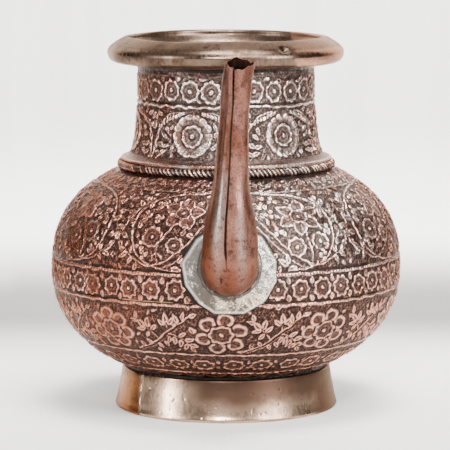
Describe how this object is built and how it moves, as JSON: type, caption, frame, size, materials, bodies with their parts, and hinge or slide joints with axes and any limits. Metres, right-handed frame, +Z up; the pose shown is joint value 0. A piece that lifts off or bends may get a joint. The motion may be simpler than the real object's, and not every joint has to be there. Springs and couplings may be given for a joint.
{
  "type": "spouted water jug",
  "caption": "Round-bellied chased copper water jug with a flared neck, a wide rolled rim, a slim upright spout on a soldered plate and a flared ring foot.",
  "frame": {"origin": "centre of the ring foot where it rests on the table", "axes": "+Z up along the axis of the body, neck and mouth; the spout stands out along -Y; +X completes the right-handed frame, to the right as one faces the spout"},
  "size_m": [0.16, 0.1907, 0.1699],
  "materials": {
    "chased_copper": "chased copper with dark recesses and rubbed pink high points",
    "neck_copper": "chased copper with dark recesses and traces of worn tin",
    "spelter": "brass spelter in the brazed seams",
    "rim_bronze": "greyish worn bronze with a rubbed bright outer edge",
    "foot_bronze": "polished pale bronze with pits and scratches",
    "tin_plate": "hand-wiped bright tin over copper sheet",
    "tin_solder": "dull soft solder",
    "spout_copper": "smooth worn copper sheet"
  },
  "bodies": {
    "root": {"lower_bowl": "chased_copper", "belly_braze": "spelter", "upper_bowl": "chased_copper", "neck": "neck_copper", "rope_collar": "neck_copper", "neck_solder": "tin_solder", "rim_ring": "rim_bronze", "rim_solder": "tin_solder", "foot_ring": "foot_bronze", "foot_seam_braze": "spelter", "foot_solder": "tin_solder", "spout_plate": "tin_plate", "plate_solder": "tin_solder", "spout_tube": "spout_copper", "spout_seam_solder": "tin_solder", "spout_solder": "tin_solder"}
  },
  "joints": []
}
